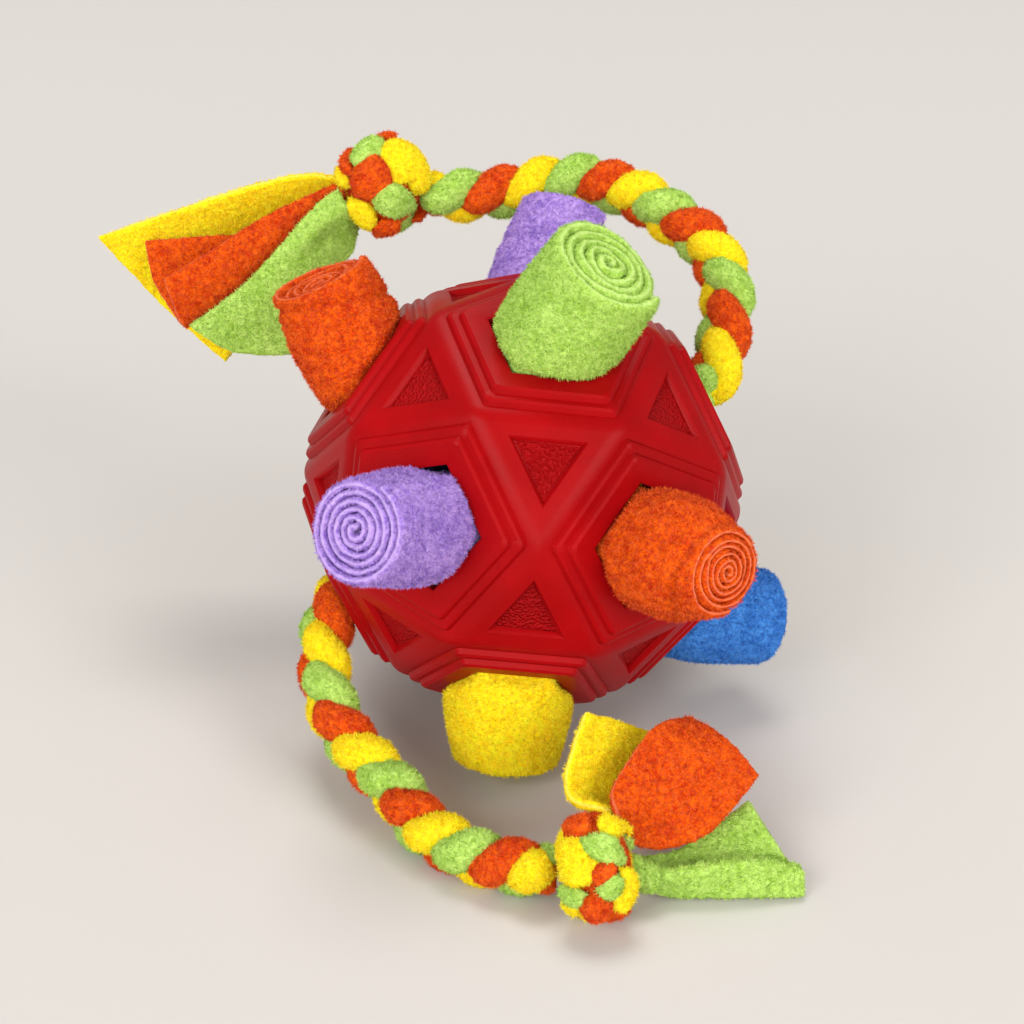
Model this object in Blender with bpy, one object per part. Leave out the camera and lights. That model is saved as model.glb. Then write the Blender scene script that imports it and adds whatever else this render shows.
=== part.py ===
"""Dog snuffle ball: a hollow rubber ball with rolled fleece in ten of its twelve
holes and a plaited fleece rope through the other two, knotted at both ends.

Run it with: blender --background --python part.py
"""

import bpy
import bmesh
from math import cos, pi, radians, sin, sqrt, tau
from mathutils import Matrix, Quaternion, Vector

# Driving sizes, in millimetres. A mesh is scaled to metres when it is finished.
MM = 0.001

# The ball: 20 triangles and 12 pentagons, with a hole in each pentagon.
BALL_CORNER = 65.0                      # from the centre to each outside corner
HOLLOW_CORNER = 60.0                    # the same for the hollow inside
BALL_HEIGHT = 69.1                      # centre above the surface it rests on
BALL_TURN = (-42.2, -56.4, -124.1)      # degrees about X, then Y, then Z
EDGE_ROUND = 2.4                        # width of the rounding along every edge
RIDGE_ROUND = 2.2                       # rounding of the frames' five corners
HOLE_CORNER = 18.5                      # from a hole's axis to its corners
TRIANGLE_LEDGE = 5.3                    # flat border of a triangle
TRIANGLE_SINK = 1.6                     # depth of its grained panel
TRIANGLE_SLOPE = 0.7                    # width of the panel's sloping side

# The two steps of the frame around a hole: corner radius, rise from the row before.
FRAME_STEPS = (
    (30.8, 0.0),
    (30.2, 1.6),
    (29.3, 0.5),
    (27.3, 0.0),
    (26.7, 1.5),
    (25.8, 0.5),
    (HOLE_CORNER, 0.0),
)

# Ratios of the solid whose corners are the middles of an icosahedron's edges.
PENTAGON_PLANE = sqrt((5 + 2 * sqrt(5)) / 5) / (1 + sqrt(5)) * 2
PENTAGON_CORNER = sqrt(1 - PENTAGON_PLANE ** 2)
TRIANGLE_CORNER = (sqrt(5) - 1) / (2 * sqrt(3))

FRAME_TOP = BALL_CORNER * PENTAGON_PLANE + sum(rise for corner, rise in FRAME_STEPS)

# The holes in the ball's own frame: height on a unit sphere, turn about Z in degrees.
RING = 1 / sqrt(5)
HOLES = {
    "rope_in": (1.0, 0.0),
    "green_top": (RING, 0.0),
    "orange_right": (RING, 72.0),
    "blue_right": (RING, 144.0),
    "yellow_back": (RING, 216.0),
    "purple_back": (RING, 288.0),
    "purple_left": (-RING, 36.0),
    "yellow_bottom": (-RING, 108.0),
    "green_bottom": (-RING, 180.0),
    "blue_back": (-RING, 252.0),
    "orange_left": (-RING, 324.0),
    "rope_out": (-1.0, 0.0),
}

# Fleece rolls. "end" is the middle of the outer end, measured from the ball's centre.
# "body" and "rim" are radii outside the hole and at the end. "flap" is the turn of
# the outer wrap's free edge, and "core" how far the wound middle stands proud.
ROLLS = (
    # hole, end, body, rim, flap, core
    ("purple_left", (-43.9, -75.0, 22.9), 17.9, 14.3, 349, 1.0),
    ("green_top", (22.1, -29.8, 79.8), 17.5, 16.2, 321, -1.0),
    ("orange_right", (53.0, -72.1, 9.5), 18.0, 15.2, 80, 2.0),
    ("yellow_bottom", (-4.6, -44.0, -64.6), 18.8, 15.8, 310, 4.0),
    ("orange_left", (-58.8, 11.9, 60.8), 17.6, 14.6, 316, -1.0),
    ("purple_back", (13.1, 59.1, 63.7), 17.4, 15.6, 332, 0.0),
    ("blue_right", (71.9, 6.2, -43.9), 16.6, 15.3, 48, 0.5),
    ("green_bottom", (-8.8, 24.5, -64.7), 16.6, 15.4, 90, 0.0),
    ("yellow_back", (41.4, 75.2, -19.7), 17.6, 15.0, 30, 1.0),
    ("blue_back", (-49.6, 70.6, -8.4), 17.8, 14.8, 150, 0.5),
)
ROLL_SIDES = 14
ROLL_BACK = 42.0                        # inner end, from the ball's centre
ROLL_BACK_SHORT = 38.0                  # the same for the roll beneath the ball
ROLL_STRAIGHT = 57.0                    # the roll leans from here outwards
ROLL_LAYER = 3.0                        # thickness of one wrap
ROLL_GAP = 0.4                          # clearance to the hole's walls
FLAP_OPENING = 5.0                      # degrees between the wrap's edge and its start

# Sections inside the ball and its wall: from the centre, share of the body radius.
ROLL_INNER_ROWS = (
    (0.0, 0.66),
    (1.4, 0.84),
    (7.0, 0.90),
)
# Sections outside: share of the way from the hole to the rim, of the change from body
# to rim radius, and of the turn from the hole's axis to the roll's own.
ROLL_OUTER_ROWS = (
    (0.14, 0.00, 0.00),
    (0.42, 0.00, 0.55),
    (0.68, 0.25, 1.00),
    (0.86, 0.62, 1.00),
    (0.95, 0.88, 1.00),
)
# The wound end: height over the rim, radius less than the rim's, whether on the core.
ROLL_END_ROWS = (
    (0.0, 1.2, False),
    (0.0, 3.0, False),
    (-1.6, 3.5, False),
    (-1.5, 4.3, False),
    (0.0, 5.2, True),
    (0.4, 8.5, True),
)

# The rope: three strips of fleece in a flat plait.
ROPE_SIDES = 12
ROPE_STEP = 2.75                        # length of one section
PLAIT_SWING = 3.5                       # sideways swing of a strand
PLAIT_DEPTH = 2.4                       # its swing through the thickness
STRAND_RADIUS = 5.2
STRANDS = 3
PLAIT_FACING = 110.0                    # turn of the plait's edge to the front
# How many strands have crossed the front edge at these distances along the rope.
PLAIT_COUNT = (
    (0.0, -0.7),
    (45.6, 3.0),
    (77.2, 6.0),
    (111.8, 9.0),
    (149.8, 11.8),
    (278.6, 22.0),
    (320.6, 25.0),
    (356.4, 28.0),
    (410.0, 32.8),
)

# The rope's route from knot to knot, measured from the ball's centre.
ROPE_ROUTE = (
    (-29.8, 72.2, 67.5),
    (-21.2, 72.2, 66.7),
    (-8.2, 72.6, 67.6),
    (1.9, 73.5, 69.5),
    (15.1, 73.4, 71.6),
    (27.3, 70.5, 70.3),
    (35.4, 66.5, 68.4),
    (42.9, 61.1, 64.9),
    (51.7, 54.4, 60.8),
    (57.7, 47.2, 55.7),
    (60.5, 37.7, 48.6),
    (59.3, 26.8, 39.8),
    (55.8, 15.6, 31.0),
    (50.6, 10.2, 26.0),
    (44.0, 7.2, 21.2),
    (33.0, 4.4, 15.2),
    (17.0, 2.0, 7.8),
    (0.0, 0.0, 0.0),
    (-17.0, -2.0, -7.8),
    (-33.0, -4.6, -15.2),
    (-44.0, -6.6, -20.6),
    (-51.5, -10.0, -26.0),
    (-56.4, -17.3, -32.8),
    (-57.4, -29.0, -40.2),
    (-55.7, -39.1, -44.3),
    (-52.9, -48.3, -47.8),
    (-48.5, -56.5, -50.7),
    (-41.9, -65.9, -53.2),
    (-35.8, -72.3, -56.0),
    (-29.4, -82.5, -59.6),
    (-21.9, -90.8, -61.2),
    (-13.7, -98.1, -61.5),
    (-3.6, -103.6, -60.8),
    (7.3, -109.1, -58.5),
)

# Knots: lobes are the strips that pass over the knot, as round-ended bars from start
# to end, measured from the knot's middle. Each has a like lobe on the far side.
KNOT_CORE = 12.5
KNOT_LOBES = {
    "knot_upper": (
        # start, end, radius
        ((4, 0, 10), (9, -4, 3), 6.2),
        ((-2, 1, 12), (-8, -4, 7), 4.8),
        ((1, -5, 9), (-6, -8, 2), 5.6),
        ((6, -9, 3), (1, -10, -3), 5.2),
        ((-7, -8, -3), (-5, -9, -6), 5.0),
        ((-9, 1, 8), (-10, -3, 4), 4.6),
        ((-3, -8, -8), (4, -8, -9), 4.8),
    ),
    "knot_lower": (
        ((-3, 1, 11), (-8, 1, 8), 4.8),
        ((1, -1, 11), (6, -3, 9), 4.8),
        ((-8, -2, 6), (-5, -9, 0), 5.4),
        ((2, -5, 9), (2, -8, 5), 5.0),
        ((5, -9, 4), (0, -11, 0), 4.2),
        ((5, -9, 2), (3, -10, -4), 4.4),
        ((9, -6, 1), (7, -7, -7), 4.6),
        ((-7, -7, -4), (-3, -10, -5), 4.6),
        ((-1, -9, -7), (3, -8, -8), 4.8),
    ),
}
KNOT_CENTRES = {
    "knot_upper": (-42.6, 72.4, 70.2),
    "knot_lower": (18.3, -115.4, -53.6),
}
# Flat faces where the rope and the tails leave a knot: direction, distance.
KNOT_FACES = {
    "knot_upper": (((1.0, 0.0, -0.2), 12.0), ((-1.0, -0.05, -0.2), 11.0)),
    "knot_lower": (((-0.92, 0.35, -0.2), 11.6), ((0.62, 0.75, 0.1), 10.7)),
}
KNOT_SIDES = 24
KNOT_RINGS = 15

# Tails: the strips' loose ends past the knots, row by row outwards from the knot.
# A row's points go across the strip, measured from the ball's centre.
TAIL_THICK = 3.0
TAIL_ACROSS = 7
TAIL_ALONG = 2
TAILS = {
    "tail_upper_yellow": (
        ((-55.7, 77.5, 75.0), (-54.8, 78.5, 70.0), (-53.8, 77.0, 65.0)),
        ((-69.0, 79.5, 74.7), (-66.0, 82.0, 64.0), (-62.0, 75.5, 56.8)),
        ((-84.0, 77.5, 70.1), (-77.0, 84.0, 53.2), (-71.0, 72.0, 44.0)),
        ((-99.0, 76.0, 66.3), (-89.0, 84.0, 45.2), (-80.0, 69.0, 34.0)),
        ((-116.0, 76.5, 60.0), (-101.0, 82.0, 38.4), (-87.0, 66.0, 25.0)),
        ((-133.0, 80.0, 53.0), (-113.0, 79.0, 31.1), (-94.0, 64.0, 16.0)),
    ),
    "tail_upper_orange": (
        ((-56.0, 73.0, 77.0), (-55.5, 71.5, 74.0), (-55.0, 71.0, 70.0), (-54.2, 72.0, 66.0)),
        ((-68.0, 69.0, 72.0), (-66.5, 66.5, 68.5), (-65.0, 67.0, 64.0), (-66.5, 71.5, 64.0)),
        ((-83.0, 64.0, 64.0), (-79.5, 60.0, 59.5), (-77.0, 62.5, 55.0), (-82.0, 69.5, 60.0)),
        ((-96.0, 59.0, 57.0), (-94.0, 53.5, 49.5), (-91.0, 57.0, 43.5), (-100.0, 69.0, 57.0)),
        ((-109.0, 55.0, 50.0), (-106.0, 49.0, 42.0), (-103.0, 52.5, 35.5), (-116.0, 69.0, 55.5)),
    ),
    "tail_upper_green": (
        ((-55.0, 65.0, 73.0), (-55.0, 64.0, 68.5), (-54.8, 65.5, 63.5)),
        ((-64.0, 60.5, 65.0), (-60.5, 59.5, 60.5), (-57.0, 62.0, 56.0)),
        ((-74.0, 56.0, 54.5), (-67.0, 55.5, 51.0), (-60.0, 60.0, 46.5)),
        ((-84.5, 52.0, 44.5), (-74.5, 51.0, 40.0), (-64.5, 55.0, 38.5)),
        ((-94.5, 49.5, 35.0), (-82.0, 47.5, 29.0), (-67.0, 50.0, 31.0)),
        ((-102.5, 49.0, 31.0), (-89.0, 46.0, 22.8), (-71.0, 46.5, 24.5)),
    ),
    "tail_lower_yellow": (
        ((21.8, -101.8, -44.8), (21.2, -100.8, -47.9), (21.1, -100.3, -51.3)),
        ((12.6, -101.0, -42.6), (17.7, -94.5, -46.4), (24.0, -91.0, -49.5)),
        ((10.4, -99.5, -36.7), (18.6, -91.5, -41.5), (28.7, -84.5, -46.5)),
        ((12.7, -94.5, -29.7), (21.1, -88.0, -35.1), (31.6, -79.0, -42.0)),
        ((15.7, -87.0, -24.2), (23.1, -81.5, -29.5), (35.0, -73.0, -38.7)),
    ),
    "tail_lower_orange": (
        ((24.2, -105.9, -44.4), (26.0, -106.9, -48.2), (27.8, -107.6, -52.0)),
        ((22.5, -101.5, -39.1), (29.5, -102.5, -48.0), (36.3, -104.0, -55.6)),
        ((27.8, -97.0, -30.9), (36.7, -100.0, -41.4), (47.1, -102.0, -53.0)),
        ((34.3, -89.0, -26.9), (43.6, -95.0, -35.4), (55.8, -97.0, -46.2)),
        ((43.5, -79.0, -30.6), (53.4, -86.5, -32.9), (61.8, -91.0, -41.3)),
    ),
    "tail_lower_green": (
        ((31.4, -107.6, -64.0), (31.8, -109.0, -60.5), (31.0, -108.3, -57.8), (28.8, -106.2, -57.6)),
        ((38.0, -107.0, -68.2), (38.9, -109.0, -59.6), (39.8, -102.5, -61.0), (39.6, -97.5, -61.1)),
        ((48.6, -107.5, -68.4), (48.9, -108.0, -58.4), (48.4, -100.0, -61.6), (47.2, -93.0, -57.7)),
        ((60.9, -107.6, -68.4), (60.8, -106.0, -58.6), (59.1, -98.0, -60.7), (54.1, -90.5, -53.7)),
        ((73.3, -107.1, -68.4), (73.1, -103.5, -63.3), (67.9, -96.5, -59.5), (59.3, -90.0, -49.6)),
    ),
}

# Finish of each piece: red, green, blue, roughness.
FINISHES = {
    "rubber": (0.52, 0.012, 0.014, 0.5),
    "yellow": (0.93, 0.56, 0.02, 0.95),
    "orange": (0.80, 0.13, 0.015, 0.95),
    "green": (0.33, 0.66, 0.10, 0.95),
    "purple": (0.30, 0.20, 0.70, 0.95),
    "blue": (0.06, 0.20, 0.66, 0.95),
}


def clear_scene():
    """Remove the objects that a new file starts with."""
    for thing in list(bpy.data.objects):
        bpy.data.objects.remove(thing, do_unlink=True)


def finish(name):
    """The plain material of one colour, made the first time it is asked for."""
    title = "fleece_" + name if name != "rubber" else "rubber_red"
    material = bpy.data.materials.get(title)
    if material is None:
        red, green, blue, roughness = FINISHES[name]
        material = bpy.data.materials.new(title)
        material.use_nodes = True
        shader = material.node_tree.nodes["Principled BSDF"]
        shader.inputs["Base Color"].default_value = (red, green, blue, 1.0)
        shader.inputs["Roughness"].default_value = roughness
        shader.inputs["Metallic"].default_value = 0.0
    return material


def add_piece(name, bm, colour, stand):
    """Turn a mesh in millimetres into a named object in metres under the stand."""
    bmesh.ops.scale(bm, vec=(MM, MM, MM), verts=bm.verts)
    mesh = bpy.data.meshes.new(name)
    bm.to_mesh(mesh)
    bm.free()
    mesh.shade_smooth()
    mesh.set_sharp_from_angle(angle=radians(40))
    piece = bpy.data.objects.new(name, mesh)
    piece.data.materials.append(finish(colour))
    bpy.context.collection.objects.link(piece)
    piece.parent = stand
    return piece


def hole_axis(hole):
    """Direction of a hole from the ball's centre, after the ball is turned."""
    height, turn = HOLES[hole]
    flat = sqrt(max(0.0, 1 - height ** 2))
    direction = Vector((flat * cos(radians(turn)), flat * sin(radians(turn)), height))
    return ball_rotation() @ direction


def hole_corner_axis(hole):
    """Direction from a hole's axis to one of its corners, square to the axis."""
    axis = hole_axis(hole)
    for other in HOLES:
        side = hole_axis(other)
        if abs(side.dot(axis) - RING) < 0.01:
            return (side - axis * side.dot(axis)).normalized()


def ball_rotation():
    turns = [Matrix.Rotation(radians(angle), 3, way) for angle, way in zip(BALL_TURN, "XYZ")]
    return turns[2] @ turns[1] @ turns[0]


# ---------------------------------------------------------------- the rubber ball

def add_many_sided_ball(bm, corner_radius):
    """An icosahedron cut back to the middles of its edges."""
    size = corner_radius / PENTAGON_PLANE
    made = bmesh.ops.create_icosphere(bm, subdivisions=1, radius=size)
    cut = bmesh.ops.bevel(bm, geom=made["verts"], offset=50, offset_type="PERCENT",
                          affect="VERTICES", segments=1, profile=0.5, material=-1)
    corners = list({corner for face in cut["faces"] for corner in face.verts})
    bmesh.ops.remove_doubles(bm, verts=corners, dist=0.01)


def faces_at(bm, sides, plane):
    """The flat faces with this many sides that lie this far from the centre."""
    found = []
    for face in bm.faces:
        distance = face.calc_center_median().dot(face.normal)
        if len(face.verts) == sides and abs(abs(distance) - plane) < 0.2:
            found.append(face)
    return found


def inset(bm, faces, width, rise=0.0):
    """Step the faces inwards and up, and give back the faces of the step."""
    made = bmesh.ops.inset_individual(bm, faces=faces, thickness=width, depth=rise,
                                      use_even_offset=True)
    return made["faces"]


def add_frames(bm):
    """Raise the two steps around each hole and round the ridges at their corners."""
    pentagons = faces_at(bm, 5, BALL_CORNER * PENTAGON_PLANE)
    corner = BALL_CORNER * PENTAGON_CORNER - EDGE_ROUND / cos(pi / 5)
    ridges = []
    for number, (next_corner, rise) in enumerate(FRAME_STEPS):
        step = inset(bm, pentagons, (corner - next_corner) * cos(pi / 5), rise)
        if 0 < number < len(FRAME_STEPS) - 1:
            step_set = set(step)
            edges = {edge for face in step for edge in face.edges}
            ridges += [edge for edge in edges if set(edge.link_faces) <= step_set]
        corner = next_corner
    bmesh.ops.bevel(bm, geom=ridges, offset=RIDGE_ROUND, offset_type="OFFSET",
                    affect="EDGES", segments=2, profile=0.5, material=-1)


def sink_triangles(bm):
    """Sink the grained panel of every triangle."""
    triangles = faces_at(bm, 3, BALL_CORNER * sqrt(1 - TRIANGLE_CORNER ** 2))
    inset(bm, triangles, TRIANGLE_LEDGE - EDGE_ROUND)
    inset(bm, triangles, TRIANGLE_SLOPE, -TRIANGLE_SINK)


def hole_edges(bm, holes):
    """Delete the hole faces and give back their edges, grouped by hole axis."""
    groups = {}
    for face in holes:
        middle = face.calc_center_median().normalized()
        key = tuple(round(part, 1) + 0.0 for part in middle)
        groups[key] = list(face.edges)
    bmesh.ops.delete(bm, geom=holes, context="FACES_ONLY")
    return groups


def make_ball():
    """The ball as one body: framed outside, plain hollow inside, open at the holes."""
    bm = bmesh.new()
    add_many_sided_ball(bm, BALL_CORNER)
    bmesh.ops.bevel(bm, geom=bm.edges[:], offset=EDGE_ROUND, offset_type="OFFSET",
                    affect="EDGES", segments=2, profile=0.5, material=-1)
    add_frames(bm)
    sink_triangles(bm)
    outside = hole_edges(bm, faces_at(bm, 5, FRAME_TOP))

    hollow = bmesh.new()
    add_many_sided_ball(hollow, HOLLOW_CORNER)
    pentagons = faces_at(hollow, 5, HOLLOW_CORNER * PENTAGON_PLANE)
    width = (HOLLOW_CORNER * PENTAGON_CORNER - HOLE_CORNER) * cos(pi / 5)
    inset(hollow, pentagons, width)
    bmesh.ops.reverse_faces(hollow, faces=hollow.faces[:])
    spare = bpy.data.meshes.new("hollow")
    hollow.to_mesh(spare)
    hollow.free()
    before = set(bm.faces)
    bm.from_mesh(spare)
    bpy.data.meshes.remove(spare)
    plane = HOLLOW_CORNER * PENTAGON_PLANE
    holes = [face for face in faces_at(bm, 5, plane) if face not in before]
    inside = hole_edges(bm, holes)
    for key, edges in outside.items():
        bmesh.ops.bridge_loops(bm, edges=edges + inside[key])
    bmesh.ops.recalc_face_normals(bm, faces=bm.faces[:])
    return bm


# ---------------------------------------------------------------- shared shapes

def skin(rings, first_tip=None, last_tip=None):
    """A closed body through rings of equal length, ended by points or flat faces."""
    bm = bmesh.new()
    loops = [[bm.verts.new(point) for point in ring] for ring in rings]
    count = len(rings[0])
    for near, far in zip(loops, loops[1:]):
        for a in range(count):
            b = (a + 1) % count
            bm.faces.new((near[a], near[b], far[b], far[a]))
    for loop, tip, turned in ((loops[0], first_tip, True), (loops[-1], last_tip, False)):
        order = loop[::-1] if turned else loop
        if tip is None:
            bm.faces.new(order)
        else:
            point = bm.verts.new(tip)
            for a in range(count):
                bm.faces.new((order[a], order[(a + 1) % count], point))
    bmesh.ops.recalc_face_normals(bm, faces=bm.faces[:])
    return bm


def curve_point(points, place):
    """Point of a smooth curve through the points; place counts them from 0."""
    last = len(points) - 1
    start = min(int(place), last - 1)
    part = place - start
    before = points[start - 1] if start > 0 else 2 * points[0] - points[1]
    after = points[start + 2] if start + 2 <= last else 2 * points[last] - points[last - 1]
    here, there = points[start], points[start + 1]
    return 0.5 * ((2 * here) + (there - before) * part
                  + (2 * before - 5 * here + 4 * there - after) * part ** 2
                  + (3 * here - before - 3 * there + after) * part ** 3)


def cut_flat(bm, point, direction):
    """Cut off what lies past a plane and close the cut with a flat face."""
    geometry = bm.verts[:] + bm.edges[:] + bm.faces[:]
    cut = bmesh.ops.bisect_plane(bm, geom=geometry, dist=0.001, plane_co=point,
                                 plane_no=direction, clear_outer=True)
    rim = [item for item in cut["geom_cut"] if isinstance(item, bmesh.types.BMEdge)]
    bmesh.ops.contextual_create(bm, geom=rim)
    bmesh.ops.recalc_face_normals(bm, faces=bm.faces[:])


# ---------------------------------------------------------------- the fleece rolls

def hole_reach(angle):
    """How far a roll may reach at this angle while it is in the five-sided hole."""
    from_side = (angle % (tau / 5)) - pi / 5
    return HOLE_CORNER * cos(pi / 5) / cos(from_side) - ROLL_GAP


def wound_section(centre, across, up, radius, flap, layer, in_hole=False):
    """One turn of the outer wrap: it grows by a layer and ends in a step."""
    ring = []
    for number in range(ROLL_SIDES + 1):
        share = number / ROLL_SIDES
        angle = flap + (tau - radians(FLAP_OPENING)) * share
        reach = radius - layer * (1 - share)
        if in_hole:
            reach = min(reach, hole_reach(angle))
        ring.append(centre + across * (cos(angle) * reach) + up * (sin(angle) * reach))
    return ring


def make_roll(hole, end, body, rim, flap, core):
    """A strip wound into a roll: squeezed by the hole, swollen outside, stepped end."""
    axis = hole_axis(hole)
    across = hole_corner_axis(hole)
    up = axis.cross(across)
    flap = radians(flap)
    back = ROLL_BACK_SHORT if hole == "green_bottom" else ROLL_BACK
    rings = []
    for distance, share in ROLL_INNER_ROWS:
        centre = axis * (back + distance)
        rings.append(wound_section(centre, across, up, body * share, flap, 1.0))
    wall = HOLLOW_CORNER * PENTAGON_PLANE
    for distance in (wall - 0.6, FRAME_TOP + 0.5):
        centre = axis * distance
        rings.append(wound_section(centre, across, up, body, flap, 1.0, in_hole=True))

    start = axis * ROLL_STRAIGHT
    lean = Vector(end) - start
    way = lean.normalized()
    whole_turn = axis.rotation_difference(way)
    first = (FRAME_TOP + 0.5 - ROLL_STRAIGHT) / lean.length
    for share, narrowing, turning in ROLL_OUTER_ROWS:
        turn = Quaternion().slerp(whole_turn, turning)
        centre = start + lean * (first + (1 - first) * share)
        radius = body + (rim - body) * narrowing
        rings.append(wound_section(centre, turn @ across, turn @ up, radius, flap, ROLL_LAYER * 0.6))
    across = whole_turn @ across
    up = whole_turn @ up
    for height, less, on_core in ROLL_END_ROWS:
        centre = Vector(end) + way * (height + (core if on_core else 0.0))
        rings.append(wound_section(centre, across, up, rim - less, flap, ROLL_LAYER * 0.6))
    tip = Vector(end) + way * (core + 0.5)
    bm = skin(rings, axis * back, tip)
    floor = Vector((0, 0, -BALL_HEIGHT))
    if min(vert.co.z for vert in bm.verts) < floor.z:
        cut_flat(bm, floor, Vector((0, 0, -1)))
    return bm


# ---------------------------------------------------------------- the rope

def even_points(route, step):
    """Points at even steps along the smooth curve through a route."""
    points = [Vector(point) for point in route]
    fine = [curve_point(points, number / 40) for number in range(40 * (len(points) - 1) + 1)]
    gone = [0.0]
    for near, far in zip(fine, fine[1:]):
        gone.append(gone[-1] + (far - near).length)
    count = round(gone[-1] / step)
    even = []
    place = 0
    for number in range(count + 1):
        target = gone[-1] * number / count
        while place < len(fine) - 2 and gone[place + 1] < target:
            place += 1
        share = (target - gone[place]) / (gone[place + 1] - gone[place])
        even.append(fine[place].lerp(fine[place + 1], share))
    return even, gone[-1] / count


def plait_count(gone):
    """Number of strands that have crossed the front edge this far along the rope."""
    for (start, low), (end, high) in zip(PLAIT_COUNT, PLAIT_COUNT[1:]):
        if gone <= end:
            return low + (high - low) * (gone - start) / (end - start)


def rope_section(centre, wide, deep, gone):
    """Outline of three round strands where the plait has gone this far."""
    strands = []
    for strand in range(STRANDS):
        phase = tau * ((plait_count(gone) - strand) / STRANDS + 0.25)
        strands.append((PLAIT_SWING * sin(phase), PLAIT_DEPTH * sin(2 * phase)))
    ring = []
    for number in range(ROPE_SIDES):
        angle = tau * number / ROPE_SIDES
        reach = 0.0
        for x, y in strands:
            along = x * cos(angle) + y * sin(angle)
            square = STRAND_RADIUS ** 2 - x ** 2 - y ** 2 + along ** 2
            reach = max(reach, along + sqrt(max(0.0, square)))
        ring.append(centre + wide * (cos(angle) * reach) + deep * (sin(angle) * reach))
    return ring


def make_rope():
    """The plait from one knot to the other, through the ball."""
    points, step = even_points(ROPE_ROUTE, ROPE_STEP)
    view = Vector((0.0, -cos(radians(25)), sin(radians(25))))
    facing = radians(PLAIT_FACING)
    rings = []
    for number, point in enumerate(points):
        before = points[max(0, number - 1)]
        after = points[min(len(points) - 1, number + 1)]
        along = (after - before).normalized()
        side = along.cross(view).normalized()
        front = side.cross(along)
        wide = side * cos(facing) + front * sin(facing)
        deep = along.cross(wide)
        rings.append(rope_section(point, wide, deep, number * step))
    bm = skin(rings, points[0], points[-1])
    for vert in bm.verts:
        vert.co.z = max(vert.co.z, -BALL_HEIGHT)
    return bm


# ---------------------------------------------------------------- knots and tails

def make_knot(name):
    """A round knot whose surface bulges where each strip passes over it."""
    balls = [(Vector((0, 0, 0)), KNOT_CORE)]
    for start, end, radius in KNOT_LOBES[name]:
        start, end = Vector(start), Vector(end)
        for share in (0.0, 0.5, 1.0):
            middle = start.lerp(end, share)
            balls.append((middle, radius))
            balls.append((-middle, radius))
    bm = bmesh.new()
    bmesh.ops.create_uvsphere(bm, u_segments=KNOT_SIDES, v_segments=KNOT_RINGS, radius=1.0)
    centre = Vector(KNOT_CENTRES[name])
    floor = BALL_HEIGHT + centre.z
    flats = [(Vector(way).normalized(), reach) for way, reach in KNOT_FACES[name]]
    flats.append((Vector((0, 0, -1)), floor))
    for vert in bm.verts:
        way = vert.co.normalized()
        reach = 0.0
        for middle, radius in balls:
            along = middle.dot(way)
            square = radius ** 2 - middle.length_squared + along ** 2
            if square > 0:
                reach = max(reach, along + sqrt(square))
        for direction, distance in flats:
            if way.dot(direction) > 0.01:
                reach = min(reach, distance / way.dot(direction))
        vert.co = centre + way * reach
    return bm


def make_tail(rows):
    """A sheet through its rows of points, before it is given its thickness."""
    rows = [[Vector(point) for point in row] for row in rows]
    along = TAIL_ALONG * (len(rows) - 1)
    bm = bmesh.new()
    bmesh.ops.create_grid(bm, x_segments=TAIL_ACROSS, y_segments=along, size=0.5)
    for vert in bm.verts:
        across_place = (vert.co.x + 0.5) * (len(rows[0]) - 1)
        along_place = (vert.co.y + 0.5) * (len(rows) - 1)
        line = [curve_point(row, across_place) for row in rows]
        vert.co = curve_point(line, along_place)
    return bm


def thicken(piece):
    """Give a sheet its thickness, half to each side."""
    wall = piece.modifiers.new("thickness", "SOLIDIFY")
    wall.thickness = TAIL_THICK * MM
    wall.offset = 0.0
    wall.use_even_offset = True


# ---------------------------------------------------------------- the whole part

def stand_on_surface(stand, pieces):
    """Move the stand until the ball and rolls have their base's middle at the origin."""
    bpy.context.view_layer.update()
    corners = [piece.matrix_world @ Vector(corner) for piece in pieces for corner in piece.bound_box]
    middle = [(min(c[i] for c in corners) + max(c[i] for c in corners)) / 2 for i in (0, 1)]
    stand.location = (-middle[0], -middle[1], BALL_HEIGHT * MM)


def build():
    clear_scene()
    stand = bpy.data.objects.new("snuffle_ball", None)
    bpy.context.collection.objects.link(stand)

    ball = make_ball()
    bmesh.ops.rotate(ball, cent=(0, 0, 0), matrix=ball_rotation(), verts=ball.verts)
    pieces = [add_piece("ball_shell", ball, "rubber", stand)]
    for hole, end, body, rim, flap, core in ROLLS:
        roll = make_roll(hole, end, body, rim, flap, core)
        pieces.append(add_piece("roll_" + hole, roll, hole.split("_")[0], stand))

    add_piece("rope", make_rope(), "orange", stand)
    for name in KNOT_LOBES:
        add_piece(name, make_knot(name), "yellow", stand)
    for name, rows in TAILS.items():
        thicken(add_piece(name, make_tail(rows), name.split("_")[2], stand))
    stand_on_surface(stand, pieces)


build()
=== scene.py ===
import random
from math import cos, pi, radians, sin, sqrt, tau

import bmesh
import bpy
from mathutils import Matrix, Quaternion, Vector, noise
from mathutils.bvhtree import BVHTree


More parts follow.
